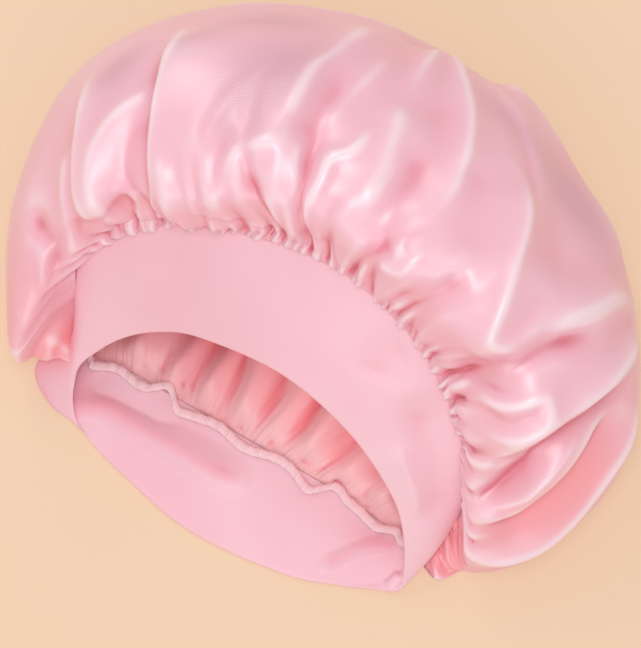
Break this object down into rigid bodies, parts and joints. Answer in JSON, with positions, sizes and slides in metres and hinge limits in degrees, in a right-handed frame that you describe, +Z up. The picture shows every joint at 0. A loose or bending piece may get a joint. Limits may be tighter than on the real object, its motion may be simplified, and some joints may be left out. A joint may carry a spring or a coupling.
{
  "type": "sleep bonnet",
  "caption": "Soft satin sleep bonnet lying on its back: a full gathered crown on a wide band, with an elastic round the inside of the seam and an open head opening.",
  "frame": {"origin": "on the ground, under the middle of the whole bonnet's box", "axes": "+Z up, +X along the mouth to its right end, +Y from the mouth to the far end of the crown"},
  "size_m": [0.3594, 0.2804, 0.1595],
  "materials": {
    "crown_satin": "soft pale pink satin with a broad sheen",
    "band_satin": "the same satin, duller side out, folded double",
    "elastic": "matt pale elastic with overlocked thread"
  },
  "bodies": {
    "root": {"crown": "crown_satin", "band": "band_satin", "seam_elastic": "elastic"}
  },
  "joints": []
}
